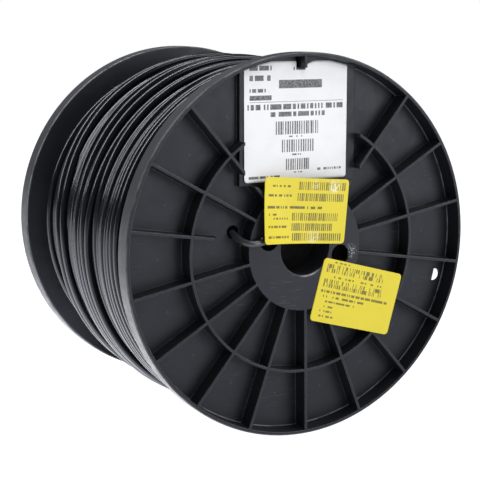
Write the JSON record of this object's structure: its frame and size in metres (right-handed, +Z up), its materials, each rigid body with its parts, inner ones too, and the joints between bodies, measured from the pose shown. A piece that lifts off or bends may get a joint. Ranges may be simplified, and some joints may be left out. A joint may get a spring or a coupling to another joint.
{
  "type": "cable reel",
  "caption": "Ribbed plastic reel standing on its two rims, full of round black data cable, with paper labels on one end face.",
  "frame": {"origin": "centre of the spindle bore's mouth on the outer face of the near flange, in the plane of the rim edge", "axes": "+Y runs into the reel along its axis from the near flange to the far one, +Z is up, +X is to the right of the near face"},
  "size_m": [0.3556, 0.2937, 0.3556],
  "materials": {
    "reel_plastic": "satin moulded",
    "cable_jacket": "satin extruded",
    "white_paper": "matt",
    "yellow_paper": "matt"
  },
  "bodies": {
    "root": {"near_flange": "reel_plastic", "far_flange": "reel_plastic", "barrel": "reel_plastic", "cable_winding": "cable_jacket", "cable_tail": "cable_jacket", "white_label": "white_paper", "yellow_label_upper": "yellow_paper", "yellow_label_lower": "yellow_paper"}
  },
  "joints": []
}
